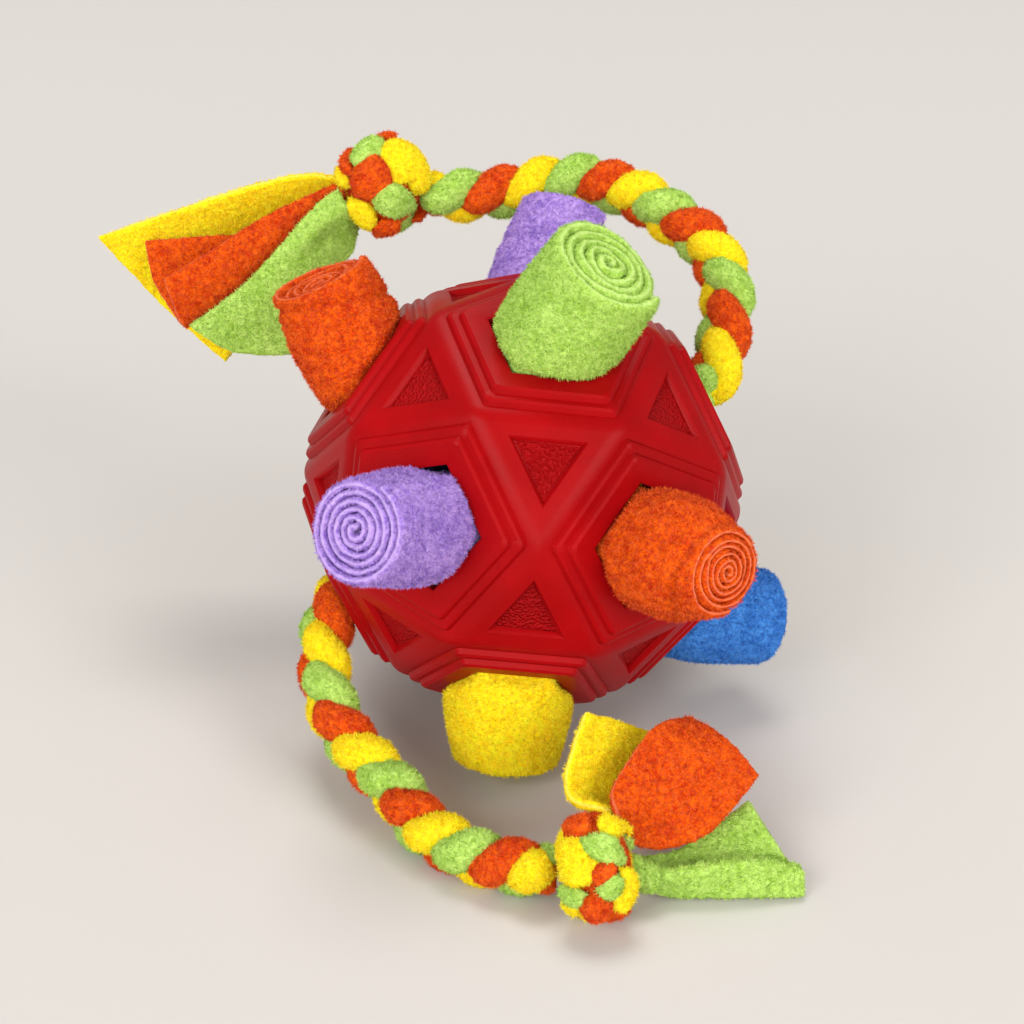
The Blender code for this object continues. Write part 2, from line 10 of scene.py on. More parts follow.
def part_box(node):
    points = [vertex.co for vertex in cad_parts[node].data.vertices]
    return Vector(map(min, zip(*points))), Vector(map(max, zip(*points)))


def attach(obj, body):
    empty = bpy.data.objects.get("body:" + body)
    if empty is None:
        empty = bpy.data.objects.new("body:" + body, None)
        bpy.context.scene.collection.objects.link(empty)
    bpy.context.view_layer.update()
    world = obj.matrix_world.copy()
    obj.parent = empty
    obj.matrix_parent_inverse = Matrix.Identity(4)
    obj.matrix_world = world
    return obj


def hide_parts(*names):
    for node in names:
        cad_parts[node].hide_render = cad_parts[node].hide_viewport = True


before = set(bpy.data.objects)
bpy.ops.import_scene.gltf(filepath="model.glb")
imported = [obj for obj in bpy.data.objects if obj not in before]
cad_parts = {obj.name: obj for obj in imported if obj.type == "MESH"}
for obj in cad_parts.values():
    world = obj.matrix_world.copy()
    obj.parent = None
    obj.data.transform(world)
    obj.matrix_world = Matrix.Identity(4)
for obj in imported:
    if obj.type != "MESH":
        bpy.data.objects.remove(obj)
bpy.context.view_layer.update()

# ------------------------------------------------------------------ camera
# The ball is looked at from the front and a little above, from about 0.7 m
# away, with a long lens. Here and below, sizes are in millimetres and places
# are measured from the ball's centre.
MM = 0.001
ball_low, ball_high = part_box("ball_shell")
BALL_CENTRE = (ball_low + ball_high) / 2
CAMERA_PLACE = (-3.4, -620.7, 282.6)
CAMERA_DOWN = 25.0                      # degrees below the level
CAMERA_LENS = 82.2


def at(point):
    """A place in the frame's metres."""
    return BALL_CENTRE + Vector(point) * MM


camera_data = bpy.data.cameras.new("camera")
camera_data.lens = CAMERA_LENS
camera_data.sensor_width = 36.0
camera = bpy.data.objects.new("camera", camera_data)
camera.location = at(CAMERA_PLACE)
camera.rotation_euler = (radians(90.0 - CAMERA_DOWN), 0.0, 0.0)
bpy.context.collection.objects.link(camera)
bpy.context.scene.camera = camera

# ------------------------------------------------------------------ the rubber ball
# One moulding of red rubber: 20 sunk triangles with a pebbled grain and 12
# five-sided holes, each inside a frame of two rounded steps.
BALL_CORNER = 65.0                      # from the centre to each outside corner
HOLLOW_CORNER = 60.0                    # the same for the hollow inside
BALL_TURN = (-42.2, -56.4, -124.1)      # degrees about X, then Y, then Z
HOLE_CORNER = 18.5                      # from a hole's axis to its corners
HOLE_DIP = 0.35                         # fall of the frame towards the hole
EDGE_ROUND = 2.4                        # width of the rounding along every edge
RIDGE_ROUND = 1.4                       # the same along the frames' ridges
TRIANGLE_LEDGE = 5.3                    # flat border of a triangle
PANEL_STEPS = ((0.5, -0.5), (0.45, -1.1), (0.35, 0.0))    # width and rise inside the border
PANEL_CUTS = 15
PEBBLE_SINK = 0.18
PEBBLE_HIGH = 0.3
FRAME_STEPS = (
    # distance from the hole's axis to the corners, rise from the row before
    (30.8, 0.0),
    (30.2, 1.6),
    (29.3, 0.5),
    (27.3, 0.0),
    (26.7, 1.5),
    (25.8, 0.5),
    (19.6, 0.0),
    (HOLE_CORNER, -HOLE_DIP),
)
RING = 1 / sqrt(5)
HOLES = {
    # height on a ball of radius 1, degrees round it
    "rope_in": (1.0, 0.0),
    "green_top": (RING, 0.0),
    "orange_right": (RING, 72.0),
    "blue_right": (RING, 144.0),
    "yellow_back": (RING, 216.0),
    "purple_back": (RING, 288.0),
    "purple_left": (-RING, 36.0),
    "yellow_bottom": (-RING, 108.0),
    "green_bottom": (-RING, 180.0),
    "blue_back": (-RING, 252.0),
    "orange_left": (-RING, 324.0),
    "rope_out": (-1.0, 0.0),
}
PENTAGON_PLANE = sqrt((5 + 2 * sqrt(5)) / 5) / (1 + sqrt(5)) * 2
PENTAGON_CORNER = sqrt(1 - PENTAGON_PLANE ** 2)
TRIANGLE_CORNER = (sqrt(5) - 1) / (2 * sqrt(3))
HOLE_TOP = BALL_CORNER * PENTAGON_PLANE + sum(rise for corner, rise in FRAME_STEPS[:-1])

turns = [Matrix.Rotation(radians(angle), 3, way) for angle, way in zip(BALL_TURN, "XYZ")]
BALL_ROTATION = turns[2] @ turns[1] @ turns[0]


def hole_axis(hole):
    """Direction from the ball's centre through the middle of a hole."""
    height, turn = HOLES[hole]
    flat = sqrt(max(0.0, 1 - height ** 2))
    return BALL_ROTATION @ Vector((flat * cos(radians(turn)), flat * sin(radians(turn)), height))


def many_sided_ball(bm, corner_radius):
    """An icosahedron cut back to the middles of its edges."""
    made = bmesh.ops.create_icosphere(bm, subdivisions=1, radius=corner_radius / PENTAGON_PLANE)
    cut = bmesh.ops.bevel(bm, geom=made["verts"], offset=50, offset_type="PERCENT",
                          affect="VERTICES", segments=1, profile=0.5, material=-1)
    corners = dict.fromkeys(corner for face in cut["faces"] for corner in face.verts)
    bmesh.ops.remove_doubles(bm, verts=list(corners), dist=0.01)


def flat_faces(bm, sides, plane):
    """The faces with this many sides at this distance from the centre."""
    found = []
    for face in bm.faces:
        distance = face.calc_center_median().dot(face.normal)
        if len(face.verts) == sides and abs(abs(distance) - plane) < 0.2:
            found.append(face)
    return found


def step_in(bm, faces, width, rise=0.0):
    """Inset each face and lift it; gives the faces of the border."""
    made = bmesh.ops.inset_individual(bm, faces=faces, thickness=width, depth=rise,
                                      use_even_offset=True)
    return made["faces"]


def edges_of(faces):
    return list(dict.fromkeys(edge for face in faces for edge in face.edges))


def finish_mesh(name, bm, materials, angle=180):
    """Turn a mesh in millimetres round the ball's centre into a piece in place."""
    bmesh.ops.scale(bm, vec=(MM, MM, MM), verts=bm.verts)
    bmesh.ops.translate(bm, vec=BALL_CENTRE, verts=bm.verts)
    mesh = bpy.data.meshes.new(name)
    bm.to_mesh(mesh)
    bm.free()
    mesh.shade_smooth()
    if angle < 180:
        mesh.set_sharp_from_angle(angle=radians(angle))
    piece = bpy.data.objects.new(name, mesh)
    for material in materials:
        mesh.materials.append(material)
    bpy.context.collection.objects.link(piece)
    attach(piece, "root")
    return piece


def node(tree, kind, **inputs):
    """A shader node with its unlinked inputs set by name."""
    made = tree.nodes.new(kind)
    for name, value in inputs.items():
        made.inputs[name.replace("_", " ")].default_value = value
    return made


def rubber_material():
    """Satin rubber in a slightly uneven red, duller and pebbled in the triangles."""
    material = bpy.data.materials.new("red_rubber")
    material.use_nodes = True
    tree = material.node_tree
    link = tree.links.new
    shader = tree.nodes["Principled BSDF"]
    shader.inputs["Specular IOR Level"].default_value = 0.07
    place = tree.nodes.new("ShaderNodeTexCoord")
    cloud = node(tree, "ShaderNodeTexNoise", Scale=38.0, Detail=5.0, Roughness=0.6)
    fine = node(tree, "ShaderNodeTexNoise", Scale=2600.0, Detail=3.0)
    pebble = node(tree, "ShaderNodeTexVoronoi", Scale=1250.0, Randomness=1.0)
    pebble.feature = "SMOOTH_F1"
    pebble.inputs["Smoothness"].default_value = 0.35
    for texture in (cloud, fine, pebble):
        link(place.outputs["Object"], texture.inputs["Vector"])
    grain = tree.nodes.new("ShaderNodeAttribute")
    grain.attribute_name = "grain"

    colour = tree.nodes.new("ShaderNodeValToRGB")
    colour.color_ramp.elements[0].position = 0.30
    colour.color_ramp.elements[0].color = (0.27, 0.002, 0.003, 1)
    colour.color_ramp.elements[1].position = 0.72
    colour.color_ramp.elements[1].color = (0.37, 0.002, 0.004, 1)
    link(cloud.outputs["Fac"], colour.inputs["Fac"])
    link(colour.outputs["Color"], shader.inputs["Base Color"])

    rough = node(tree, "ShaderNodeMapRange", From_Min=0.3, From_Max=0.7, To_Min=0.30, To_Max=0.40)
    link(cloud.outputs["Fac"], rough.inputs["Value"])
    rougher = node(tree, "ShaderNodeMath")
    rougher.operation = "MULTIPLY_ADD"
    rougher.inputs[1].default_value = 0.14
    link(grain.outputs["Fac"], rougher.inputs[0])
    link(rough.outputs["Result"], rougher.inputs[2])
    link(rougher.outputs["Value"], shader.inputs["Roughness"])

    relief = node(tree, "ShaderNodeMath")
    relief.operation = "MULTIPLY"
    link(pebble.outputs["Distance"], relief.inputs[0])
    link(grain.outputs["Fac"], relief.inputs[1])
    height = node(tree, "ShaderNodeMath")
    height.operation = "MULTIPLY_ADD"
    height.inputs[1].default_value = 0.05
    link(fine.outputs["Fac"], height.inputs[0])
    link(relief.outputs["Value"], height.inputs[2])
    bump = node(tree, "ShaderNodeBump", Strength=1.0, Distance=0.0009)
    link(height.outputs["Value"], bump.inputs["Height"])
    link(bump.outputs["Normal"], shader.inputs["Normal"])
    return material


def hole_key(face):
    """The same for a hole's outer and inner face."""
    return tuple(round(part, 1) + 0.0 for part in face.calc_center_median().normalized())


def make_ball():
    """The outer shape, stepped round its holes, joined to the hollow through them."""
    bm = bmesh.new()
    many_sided_ball(bm, BALL_CORNER)
    bmesh.ops.bevel(bm, geom=bm.edges[:], offset=EDGE_ROUND, offset_type="OFFSET",
                    affect="EDGES", segments=4, profile=0.5, material=-1)
    pentagons = flat_faces(bm, 5, BALL_CORNER * PENTAGON_PLANE)
    corner = BALL_CORNER * PENTAGON_CORNER - EDGE_ROUND / cos(pi / 5)
    ridges = []
    for number, (next_corner, rise) in enumerate(FRAME_STEPS):
        step = step_in(bm, pentagons, (corner - next_corner) * cos(pi / 5), rise)
        if 0 < number < 6:
            inside = set(step)
            ridges += [edge for edge in edges_of(step) if set(edge.link_faces) <= inside]
        corner = next_corner
    bmesh.ops.bevel(bm, geom=ridges, offset=RIDGE_ROUND, offset_type="OFFSET",
                    affect="EDGES", segments=4, profile=0.5, material=-1)

    grain = bm.verts.layers.float.new("grain")
    triangles = flat_faces(bm, 3, BALL_CORNER * sqrt(1 - TRIANGLE_CORNER ** 2))
    step_in(bm, triangles, TRIANGLE_LEDGE - EDGE_ROUND)
    for width, rise in PANEL_STEPS:
        step_in(bm, triangles, width, rise)
    made = bmesh.ops.subdivide_edges(bm, edges=edges_of(triangles), cuts=PANEL_CUTS,
                                     use_grid_fill=True)
    inner = dict.fromkeys(made["geom_inner"])
    for vert in [item for item in inner if isinstance(item, bmesh.types.BMVert)]:
        vert[grain] = 1.0
        lump = noise.voronoi(vert.co * 0.9)[0]
        vert.co -= vert.co.normalized() * (PEBBLE_SINK - PEBBLE_HIGH * (lump[1] - lump[0]))

    holes = flat_faces(bm, 5, HOLE_TOP - HOLE_DIP)
    groups = {hole_key(face): list(face.edges) for face in holes}
    bmesh.ops.delete(bm, geom=holes, context="FACES_ONLY")

    hollow = bmesh.new()
    many_sided_ball(hollow, HOLLOW_CORNER)
    pentagons = flat_faces(hollow, 5, HOLLOW_CORNER * PENTAGON_PLANE)
    step_in(hollow, pentagons, (HOLLOW_CORNER * PENTAGON_CORNER - HOLE_CORNER) * cos(pi / 5))
    bmesh.ops.reverse_faces(hollow, faces=hollow.faces[:])
    spare = bpy.data.meshes.new("hollow")
    hollow.to_mesh(spare)
    hollow.free()
    before = set(bm.faces)
    bm.from_mesh(spare)
    bpy.data.meshes.remove(spare)
    inside = [face for face in flat_faces(bm, 5, HOLLOW_CORNER * PENTAGON_PLANE)
              if face not in before]
    for face in inside:
        groups[hole_key(face)] += list(face.edges)
    bmesh.ops.delete(bm, geom=inside, context="FACES_ONLY")
    for edges in groups.values():
        bmesh.ops.bridge_loops(bm, edges=edges)
    bmesh.ops.recalc_face_normals(bm, faces=bm.faces[:])
    bmesh.ops.rotate(bm, cent=(0, 0, 0), matrix=BALL_ROTATION, verts=bm.verts)
    return bm


ball = finish_mesh("ball_rubber", make_ball(), [rubber_material()], angle=32)
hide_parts("ball_shell")

# ------------------------------------------------------------------ the fleece rolls
# Ten strips of curly-pile fleece, each wound up tight and pushed into a hole,
# which squeezes it to five sides. Outside it swells, and its turns show at the end.
FLEECE_THICK = 2.6
CLOTH_STEP = 1.1                        # size of the mesh's squares where cloth shows
PILE_RISE = 0.5                         # how far the curls stand above the cloth
ROLL_BACK = 42.0                        # inner end, from the ball's centre
ROLL_BACK_SHORT = 38.0                  # the same for the roll beneath the ball
ROLL_STRAIGHT = 59.0                    # the roll leans from here outwards
ROLL_HEART = 1.0                        # radius that the strip is wound up from
TURN_POINTS = 34                        # points round an inner turn
OUTER_POINTS = 104                      # and round the outer one
CREASE_DEEP = 1.7
CREASE_WIDE = 0.05                      # as a share of the roll's free part
ROLLS = (
    # hole, middle of the end, radius, radius at the end, side of the wrap's edge, how far
    # the heart and the outer wrap stand out, turns, a crease as its place along the free
    # part, slant and highest side, and the end's slope as its rise and highest side
    ("purple_left", (-43.9, -75.0, 22.9), 17.9, 15.6, 349, 1.0, 0.8, 6, None, None),
    ("green_top", (22.1, -29.8, 79.8), 18.8, 17.4, 318, 1.5, 0.6, 5, None, None),
    ("orange_right", (53.0, -72.1, 9.5), 18.2, 12.8, 250, 1.0, -0.6, 6, (0.76, 0.13, 80), None),
    ("yellow_bottom", (-4.6, -44.0, -64.6), 19.4, 15.6, 130, 4.0, -0.5, 5, None, None),
    ("orange_left", (-58.8, 11.9, 60.8), 17.6, 15.8, 40, -1.0, 0.6, 5, (0.72, 0.16, 226), (3.4, 133)),
    ("purple_back", (13.1, 59.1, 63.7), 17.4, 15.8, 332, 0.0, 1.0, 5, (0.55, 0.05, 0), None),
    ("blue_right", (71.9, 6.2, -43.9), 16.6, 15.4, 200, 0.5, 0.5, 5, None, None),
    ("green_bottom", (-8.8, 24.5, -64.7), 16.6, 15.4, 90, 0.0, 0.0, 5, None, None),
    ("yellow_back", (41.4, 75.2, -19.7), 17.6, 15.2, 30, 1.0, 0.4, 5, None, None),
    ("blue_back", (-49.6, 70.6, -8.4), 17.8, 15.0, 150, 0.5, 0.6, 5, None, None),
)
PILE_PER_MM = 6.0    # curls on a square millimetre
PILE_LONG = 1.0
PILE_WIDE = 0.26
PILE_AIR = 5.0                          # curls grow only where this much room is open
PILE_FROM = HOLE_TOP - 5.0              # and this far from the ball's centre
PILE_TUFT = 0.20                        # height of the fine tufts
LEAN_SEED = 1                           # noise_vector starts from the clock without one
FLOOR = 0.02 - BALL_CENTRE.z / MM       # just above the floor, from the ball's centre
FLEECE_COLOURS = {
    # painted shade deep between the tufts, painted light on their tips
    "yellow": ((1.00, 0.66, 0.003), (1.00, 0.90, 0.012)),
    "orange": ((0.56, 0.026, 0.001), (0.91, 0.135, 0.002)),
    "green": ((0.31, 0.54, 0.055), (0.56, 0.80, 0.18)),
    "purple": ((0.28, 0.15, 0.60), (0.58, 0.38, 0.84)),
    "blue": ((0.020, 0.13, 0.51), (0.080, 0.32, 0.83)),
}


def pile_group():
    """Curly pile: loops about a millimetre wide in soft clumps, deep with painted shade between,
    paler with painted light on top.
    """
    group = bpy.data.node_groups.new("curly_pile", "ShaderNodeTree")
    side = group.interface.new_socket
    side("Painted shade", in_out="INPUT", socket_type="NodeSocketColor")
    side("Painted light", in_out="INPUT", socket_type="NodeSocketColor")
    side("Cut", in_out="INPUT", socket_type="NodeSocketColor")
    side("Colour", in_out="OUTPUT", socket_type="NodeSocketColor")
    side("Height", in_out="OUTPUT", socket_type="NodeSocketFloat")
    link = group.links.new
    given = group.nodes.new("NodeGroupInput")
    result = group.nodes.new("NodeGroupOutput")
    place = group.nodes.new("ShaderNodeTexCoord")
    curl = node(group, "ShaderNodeTexNoise", Scale=760.0, Detail=3.0, Roughness=0.6,
                Distortion=2.6)
    tuft = node(group, "ShaderNodeTexNoise", Scale=520.0, Detail=2.0, Roughness=0.5,
                Distortion=0.8)
    clump = node(group, "ShaderNodeTexNoise", Scale=150.0, Detail=3.0, Roughness=0.5)
    for texture in (curl, tuft, clump):
        link(place.outputs["Object"], texture.inputs["Vector"])

    def add(scale, first, second):
        made = group.nodes.new("ShaderNodeMath")
        made.operation = "MULTIPLY_ADD"
        made.inputs[1].default_value = scale
        link(first, made.inputs[0])
        link(second, made.inputs[2])
        return made.outputs["Value"]

    total = add(0.9, tuft.outputs["Fac"], curl.outputs["Fac"])
    link(total, result.inputs["Height"])
    total = add(0.5, clump.outputs["Fac"], total)
    # painted shade and light: the lower the pile's noise, the nearer the colour is to the shaded deep
    # colour, the higher, the nearer to the lit tips
    shade = node(group, "ShaderNodeMapRange", From_Min=0.97, From_Max=1.43)
    link(total, shade.inputs["Value"])
    mix = group.nodes.new("ShaderNodeMix")
    mix.data_type = "RGBA"
    link(shade.outputs["Result"], mix.inputs["Factor"])
    link(given.outputs["Painted shade"], mix.inputs["A"])
    link(given.outputs["Painted light"], mix.inputs["B"])
    edge = group.nodes.new("ShaderNodeAttribute")
    edge.attribute_name = "cut"
    pale = group.nodes.new("ShaderNodeMix")
    pale.data_type = "RGBA"
    link(edge.outputs["Fac"], pale.inputs["Factor"])
    link(mix.outputs["Result"], pale.inputs["A"])
    link(given.outputs["Cut"], pale.inputs["B"])
    link(pale.outputs["Result"], result.inputs["Colour"])
    return group


PILE = pile_group()


def fleece_material(colour):
    """Matt fleece with the soft edge glow of its pile."""
    # the first colour is painted shade for the pile's hollows, the second painted light for its tips
    deep, lit_tips = FLEECE_COLOURS[colour]
    material = bpy.data.materials.new("fleece_" + colour)
    material.use_nodes = True
    tree = material.node_tree
    shader = tree.nodes["Principled BSDF"]
    shader.inputs["Roughness"].default_value = 0.95
    shader.inputs["Specular IOR Level"].default_value = 0.12
    shader.inputs["Sheen Weight"].default_value = 0.18
    shader.inputs["Sheen Roughness"].default_value = 0.45
    shader.inputs["Sheen Tint"].default_value = (*lit_tips, 1)
    pile = tree.nodes.new("ShaderNodeGroup")
    pile.node_tree = PILE
    pile.inputs["Painted shade"].default_value = (*deep, 1)
    pile.inputs["Painted light"].default_value = (*lit_tips, 1)
    pile.inputs["Cut"].default_value = (*(0.86 * part + 0.14 * max(lit_tips) for part in lit_tips), 1)
    tree.links.new(pile.outputs["Colour"], shader.inputs["Base Color"])
    bump = node(tree, "ShaderNodeBump", Strength=0.8, Distance=0.0008)
    tree.links.new(pile.outputs["Height"], bump.inputs["Height"])
    tree.links.new(bump.outputs["Normal"], shader.inputs["Normal"])
    return material


FLEECE = {colour: fleece_material(colour) for colour in FLEECE_COLOURS}
noise.seed_set(LEAN_SEED)


def raise_pile(bm, clumps=0.28):
    """Push a surface out and in, in clumps and tufts of pile, but not into the floor."""
    bm.normal_update()
    moves = []
    for vert in bm.verts:
        clump = noise.noise(vert.co * 0.33)
        tuft = noise.noise(vert.co * 0.85) + 0.6 * noise.noise(vert.co * 1.6)
        moves.append(vert.normal * (clumps * clump + PILE_TUFT * tuft))
    for vert, move in zip(bm.verts, moves):
        vert.co += move
        vert.co.z = max(vert.co.z, FLOOR)


def grow_pile(name, bm, materials):
    """The loose curls of a fleece surface, wherever it is open to the air.

    Each is one narrow leaf, leaning with its neighbours. They are fewer and
    shorter along the cut edges."""
    others = BVHTree.FromBMesh(bm)
    chance = random.Random(name)
    pile = bmesh.new()
    pale = pile.verts.layers.float.new("cut")
    cut = bm.verts.layers.float.get("cut")
    bm.normal_update()
    for face in bm.faces:
        corners = [vert.co for vert in face.verts]
        middle = face.calc_center_median()
        outward = face.normal
        if len(corners) != 4 or middle.length < PILE_FROM:
            continue
        if others.ray_cast(middle + outward * 0.1, outward, PILE_AIR)[0]:
            continue
        at_edge = cut and any(vert[cut] > 0.5 for vert in face.verts)
        count = face.calc_area() * PILE_PER_MM * (0.4 if at_edge else 1.0)
        long = PILE_LONG * (0.5 if at_edge else 1.0)
        for curl in range(int(count + chance.random())):
            share = chance.random()
            root = corners[0].lerp(corners[1], share)
            root = root.lerp(corners[3].lerp(corners[2], share), chance.random())
            stray = Vector([chance.uniform(-1, 1) for axis in "xyz"])
            lean = noise.noise_vector(root * 0.8) * 1.2 + stray * 0.6
            reach = (outward * 0.6 + lean).normalized() * long * chance.uniform(0.5, 1.2)
            reach += outward * max(0.0, 0.15 - reach.dot(outward))
            reach += outward * 0.45 * noise.noise(root * 0.75)
            beside = reach.cross(outward + stray * 0.3).normalized() * PILE_WIDE / 2
            tip = root + reach
            tip.z = max(tip.z, FLOOR)
            leaf = [pile.verts.new(root - beside), pile.verts.new(root + beside),
                    pile.verts.new(tip)]
            for corner in leaf:
                corner[pale] = chance.uniform(0.0, 0.3)
            pile.faces.new(leaf).material_index = face.material_index
    return finish_mesh("pile_" + name, pile, materials)


def steps(start, end, count):
    """Even steps from start to end, both included."""
    return [start + (end - start) * number / count for number in range(count + 1)]


def close_up(bm, verts, material):
    """Join the sides of a bent grid, close its open ends and give it a material."""
    for vert in verts:
        for face in vert.link_faces:
            face.material_index = material
    bmesh.ops.remove_doubles(bm, verts=verts, dist=0.001)
    open_edges = [edge for edge in bm.edges if len(edge.link_faces) == 1]
    for face in bmesh.ops.holes_fill(bm, edges=open_edges, sides=0)["faces"]:
        face.material_index = material


def strip_slab(lengthways, outside, inside, place):
    """A fleece strip as one closed slab with round cut edges, bent into place.

    lengthways, outside and inside are distances along and across the strip; place
    gives the point for a distance along, a distance across and a height in the pile."""
    half = FLEECE_THICK / 2
    arc = [(half * cos(radians(angle)), half * sin(radians(angle)))
           for angle in (65, 33, 0, -33, -65)]
    loop = [(across, half) for across in outside]
    loop += [(outside[-1] + out, height) for out, height in arc]
    loop += [(across, -half) for across in reversed(inside)]
    loop += [(inside[0] - out, height) for out, height in reversed(arc)]
    # places along the strip and the share of its thickness there: the ends are rounded off
    ends = [(lengthways[0] - 0.9, 0.3), (lengthways[0] - 0.5, 0.8)]
    ends += [(along, 1.0) for along in lengthways]
    ends += [(lengthways[-1] + 0.5, 0.8), (lengthways[-1] + 0.9, 0.3)]
    bm = bmesh.new()
    cut = bm.verts.layers.float.new("cut")
    bmesh.ops.create_grid(bm, x_segments=len(ends) - 1, y_segments=len(loop), size=0.5)
    for vert in bm.verts:
        along, thin = ends[round((vert.co.x + 0.5) * (len(ends) - 1))]
        across, height = loop[round((vert.co.y + 0.5) * len(loop)) % len(loop)]
        vert[cut] = 0.8 if abs(height) < half * 0.3 or thin < 0.5 else 0.0
        vert.co = place(along, across, height * thin)
    close_up(bm, bm.verts[:], 0)
    bmesh.ops.recalc_face_normals(bm, faces=bm.faces[:])
    return bm


def hole_corner_axis(hole):
    """Direction across a hole to one of its five neighbours."""
    axis = hole_axis(hole)
    for other in HOLES:
        side = hole_axis(other)
        if abs(side.dot(axis) - RING) < 0.01:
            return (side - axis * side.dot(axis)).normalized()


def make_roll(hole, end, body, rim, flap, core, lip, turns_wound, crease, slope):
    """Wind a flat strip round its own axis, squeeze it in the hole and lean it over.

    Gives its mesh and the strip's width and length."""
    axis = hole_axis(hole)
    across_axis = hole_corner_axis(hole)
    up_axis = axis.cross(across_axis)
    back = ROLL_BACK_SHORT if hole == "green_bottom" else ROLL_BACK
    start = axis * ROLL_STRAIGHT
    lean = Vector(end) - start
    whole_turn = axis.rotation_difference(lean.normalized())
    wound = tau * (turns_wound + 0.05)
    pitch = (body - FLEECE_THICK / 2 - ROLL_HEART) / (wound / tau)
    length = ROLL_HEART * wound + pitch * wound ** 2 / (4 * pi)
    depth = ROLL_STRAIGHT - back + lean.length
    free_from = HOLE_TOP + 0.1

    def place(along, across, height):
        angle = (sqrt(ROLL_HEART ** 2 + pitch * max(0.0, along) / pi) - ROLL_HEART) * tau / pitch
        radius = ROLL_HEART + pitch * angle / tau + height * pitch * 0.9 / FLEECE_THICK
        turn = radians(flap) + angle - wound
        share_out = radius / body
        # the end: heart and outer wrap stand out, and the whole may slope
        wander = noise.noise(Vector((angle * 0.55, 0.0, len(hole) * 3.1)))
        last_turn = max(0.0, 1 - (wound - angle) / tau)
        proud = core * max(0.0, 1 - share_out * 1.15) + lip * min(1.0, last_turn * 4)
        proud += 1.1 * wander
        if slope:
            proud += slope[0] * share_out * cos(turn - radians(slope[1]))
        distance = back + across + proud * (across / depth) ** 4
        # the free part: it narrows to the rim and may have a crease
        wander = noise.noise(Vector((cos(turn), sin(turn), distance * 0.05)) * 1.1)
        full = (body - PILE_RISE) * (1 + 0.02 * wander)
        out = max(0.0, (distance - free_from) / (back + depth - free_from))
        taper = 0.45 if crease else 0.25
        full += (rim - body) * (max(0.0, out - taper) / (1 - taper)) ** 1.2
        if crease and share_out > 0.75:
            line = crease[0] + crease[1] * cos(turn - radians(crease[2]))
            full -= CREASE_DEEP * max(0.0, 1 - abs(out - line) / CREASE_WIDE)
        # in the hole: squeezed to five sides, swollen again inside and gathered at the back
        side = (turn % (tau / 5)) - pi / 5
        squeezed = min(full * 0.95, HOLE_CORNER * cos(pi / 5) / cos(side) - 0.15)
        swell = min(1.0, max(0.0, (distance - free_from) / 2.2))
        inside = min(1.0, max(0.0, (47.0 - distance) / 4.0))
        limit = squeezed + (full - squeezed) * max(sin(swell * pi / 2), 0.75 * inside)
        limit *= 0.72 + 0.28 * sqrt(min(1.0, max(0.0, (distance - back) / 8.0)))
        radial = share_out * limit
        spoke = across_axis * cos(turn) + up_axis * sin(turn)
        if distance <= ROLL_STRAIGHT:
            return axis * distance + spoke * radial
        share = (distance - ROLL_STRAIGHT) / lean.length
        tilt = Quaternion().slerp(whole_turn, min(1.0, share / 0.45))
        return start + lean * share + tilt @ (spoke * radial)

    # the outer turn has more points than the rest, and its free part more rows
    angles = steps(0.0, wound - tau, TURN_POINTS * (turns_wound - 1))
    inner_turns = [ROLL_HEART * angle + pitch * angle ** 2 / (4 * pi) for angle in angles]
    outer_turn = steps(inner_turns[-1], length, OUTER_POINTS)[1:]
    rim_row = depth - FLEECE_THICK / 2
    rows = [1.5, 7.0, 13.0] + steps(16.5, rim_row, round((rim_row - 16.5) / CLOTH_STEP))
    rows_inside = [1.5, 14.0, rim_row - 9.0, rim_row - 4.0, rim_row - 1.8, rim_row]
    bm = strip_slab(inner_turns + outer_turn, rows, rows_inside, place)
    raise_pile(bm)
    return bm, depth, length


for row in ROLLS:
    hole = row[0]
    colour = hole.split("_")[0]
    mesh, depth, length = make_roll(*row)
    pile = grow_pile(hole, mesh, [FLEECE[colour]])
    roll = finish_mesh("wound_" + hole, mesh, [FLEECE[colour]])
    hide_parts("roll_" + hole)

